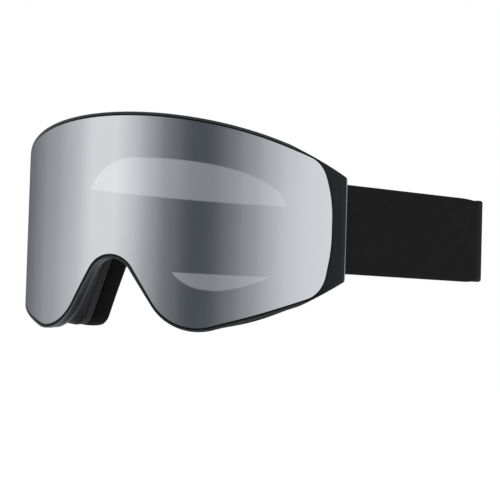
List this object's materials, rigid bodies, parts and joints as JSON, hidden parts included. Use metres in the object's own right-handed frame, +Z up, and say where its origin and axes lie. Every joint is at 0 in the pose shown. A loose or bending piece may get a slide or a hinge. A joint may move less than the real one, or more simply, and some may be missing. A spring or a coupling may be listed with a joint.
{
  "type": "ski goggles",
  "caption": "Ski goggles with a cylindrical mirrored magnetic double lens, layered face foam and a wide adjustable elastic strap.",
  "frame": {"origin": "on the vertical axis of the lens cylinder, at eye height, in the plane of the foam's temple edges, the centre of the face opening", "axes": "+X to the wearer's left, -Y forwards out of the lens, +Z up"},
  "size_m": [0.2408, 0.1829, 0.102],
  "materials": {
    "mirror_lens": "silver mirror coating",
    "clear_lens": "clear, anti-fog",
    "frame_plastic": "satin black",
    "carrier_plastic": "matte black",
    "flexible_frame": "matte",
    "grey_foam": "open-cell foam",
    "black_foam": "open-cell foam",
    "vent_foam": "coarse filter foam",
    "fleece": "brushed fleece",
    "gasket_foam": "matte",
    "webbing": "woven elastic",
    "grip_silicone": "satin",
    "slider_plastic": "fine grain",
    "pin_steel": "satin",
    "magnet_plating": "nickel plated"
  },
  "bodies": {
    "root": {"front_frame": "frame_plastic", "frame_magnets": "magnet_plating", "face_frame": "flexible_frame", "top_vent_foam": "vent_foam", "bottom_vent_foam": "vent_foam", "base_foam": "grey_foam", "face_foam": "black_foam", "fleece_lining": "fleece", "left_pivot_bracket": "carrier_plastic", "right_pivot_bracket": "carrier_plastic", "left_clip_pin": "pin_steel", "right_clip_pin": "pin_steel", "strap_band": "webbing", "left_strap_return": "webbing", "right_strap_return": "webbing", "left_grip_strips": "grip_silicone", "right_grip_strips": "grip_silicone"},
    "lens": {"outer_lens": "mirror_lens", "lens_carrier": "carrier_plastic", "lens_gasket": "gasket_foam", "inner_lens": "clear_lens", "carrier_magnets": "magnet_plating"},
    "left_clip": {"left_strap_clip": "slider_plastic", "left_strap_end": "webbing"},
    "right_clip": {"right_strap_clip": "slider_plastic", "right_strap_end": "webbing"},
    "left_slider": {"left_slider": "slider_plastic"},
    "right_slider": {"right_slider": "slider_plastic"}
  },
  "joints": [
    {"name": "lens_pull", "type": "slide", "parent": "root", "child": "lens", "axis": [0, -1, 0], "range_m": [0, 0.065]},
    {"name": "left_clip_swing", "type": "hinge", "parent": "root", "child": "left_clip", "pos_m": [0.08202, -0.02872, -0.0007], "axis": [0, 0, 1], "range_deg": [0, 15]},
    {"name": "right_clip_swing", "type": "hinge", "parent": "root", "child": "right_clip", "pos_m": [-0.08202, -0.02872, -0.0007], "axis": [0, 0, -1], "range_deg": [0, 15]},
    {"name": "left_slider_slide", "type": "slide", "parent": "root", "child": "left_slider", "axis": [0.9985, 0, -0.0549], "range_m": [0, 0.05]},
    {"name": "right_slider_slide", "type": "slide", "parent": "root", "child": "right_slider", "axis": [-1, 0, 0], "range_m": [0, 0.05]}
  ]
}
